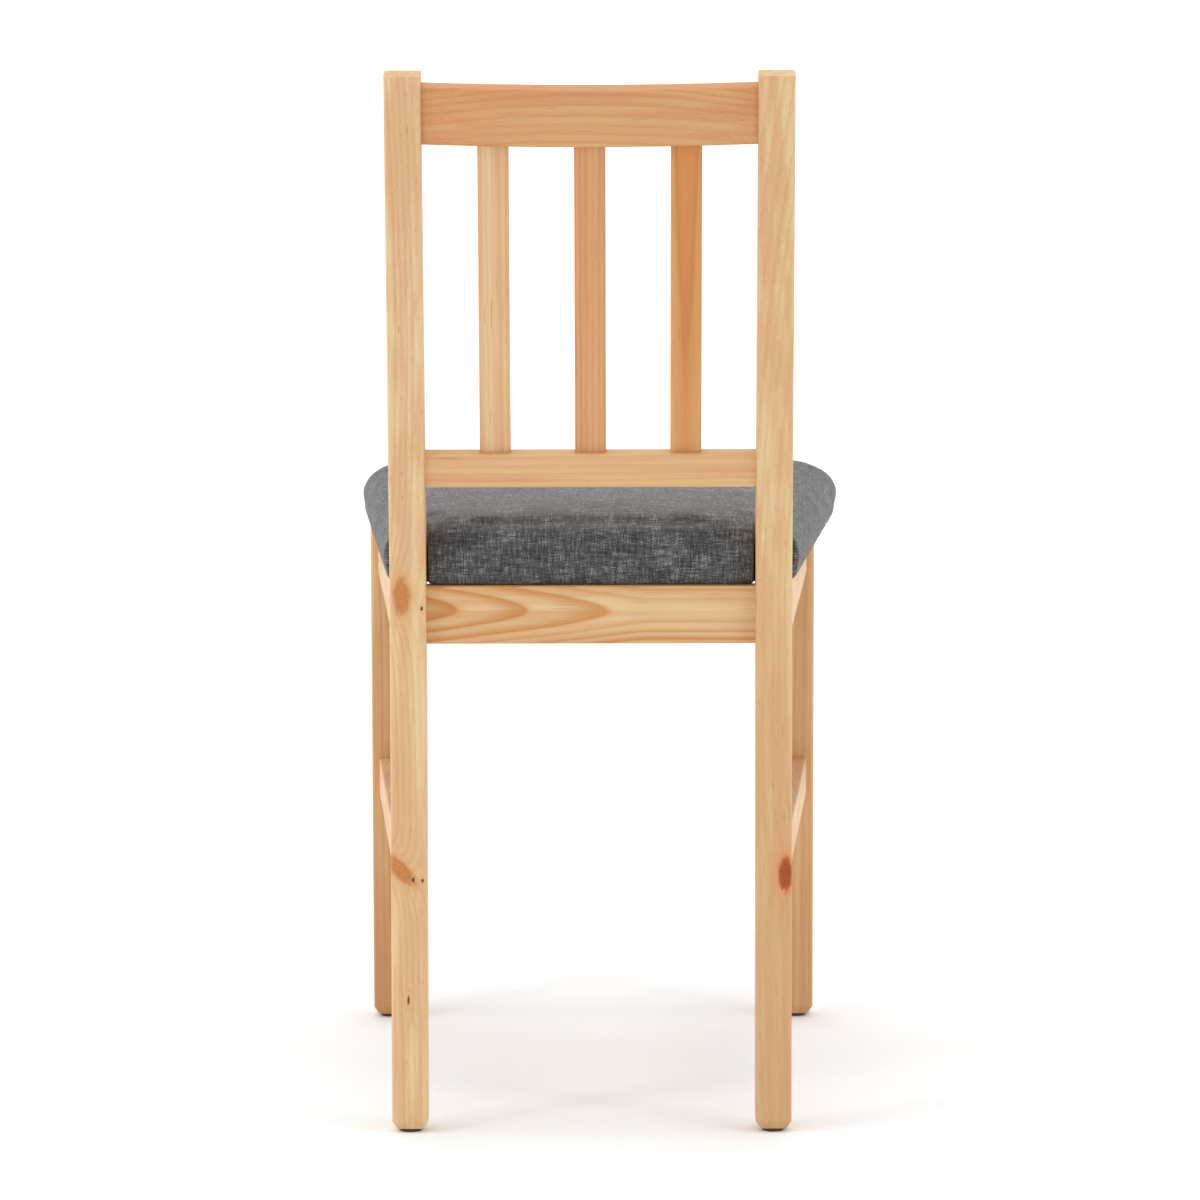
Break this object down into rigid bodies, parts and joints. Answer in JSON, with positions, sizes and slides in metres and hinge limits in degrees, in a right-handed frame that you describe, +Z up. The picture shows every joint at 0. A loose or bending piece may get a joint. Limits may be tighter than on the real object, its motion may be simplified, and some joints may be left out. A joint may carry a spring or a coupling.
{
  "type": "dining chair",
  "caption": "Slat-back dining chair in clear-finished pine: bowed crest rail, leaning back, upholstered seat notched round the rear legs, side stretchers and foot glides.",
  "frame": {"origin": "on the floor, at the middle of the chair's bounding box", "axes": "+Z up, +Y towards the back of the chair, so the sitter faces -Y; +X to the sitter's left"},
  "size_m": [0.4224, 0.5008, 0.883],
  "materials": {
    "pine": "clear satin lacquer on knotty pine",
    "pine_warm": "clear satin lacquer on warmer pine",
    "beech": "unfinished beech dowel",
    "plywood": "unfinished plywood",
    "foam": "upholstery foam",
    "seat_fabric": "grey melange woven upholstery fabric",
    "lining": "black non-woven lining",
    "steel": "zinc-plated fixings",
    "glide_plastic": "dark moulded plastic"
  },
  "bodies": {
    "root": {"rear_leg_left": "pine", "rear_leg_right": "pine", "front_leg_left": "pine", "front_leg_right": "pine", "crest_rail": "pine", "lower_back_rail": "pine", "slat_left": "pine", "slat_middle": "pine_warm", "slat_right": "pine_warm", "rear_apron": "pine", "front_apron": "pine", "side_apron_left": "pine", "side_apron_right": "pine", "side_stretcher_left": "pine", "side_stretcher_right": "pine", "corner_block_rear_left": "pine", "corner_block_rear_right": "pine", "corner_block_front_left": "pine", "corner_block_front_right": "pine", "back_dowels": "beech", "apron_dowels": "beech", "stretcher_dowels": "beech", "corner_block_screws": "steel", "seat_screws": "steel", "seat_board": "plywood", "seat_foam": "foam", "seat_cover": "seat_fabric", "seat_lining": "lining", "seat_staples": "steel", "glide_rear_left": "glide_plastic", "glide_rear_right": "glide_plastic", "glide_front_left": "glide_plastic", "glide_front_right": "glide_plastic", "glide_nails": "steel"}
  },
  "joints": []
}
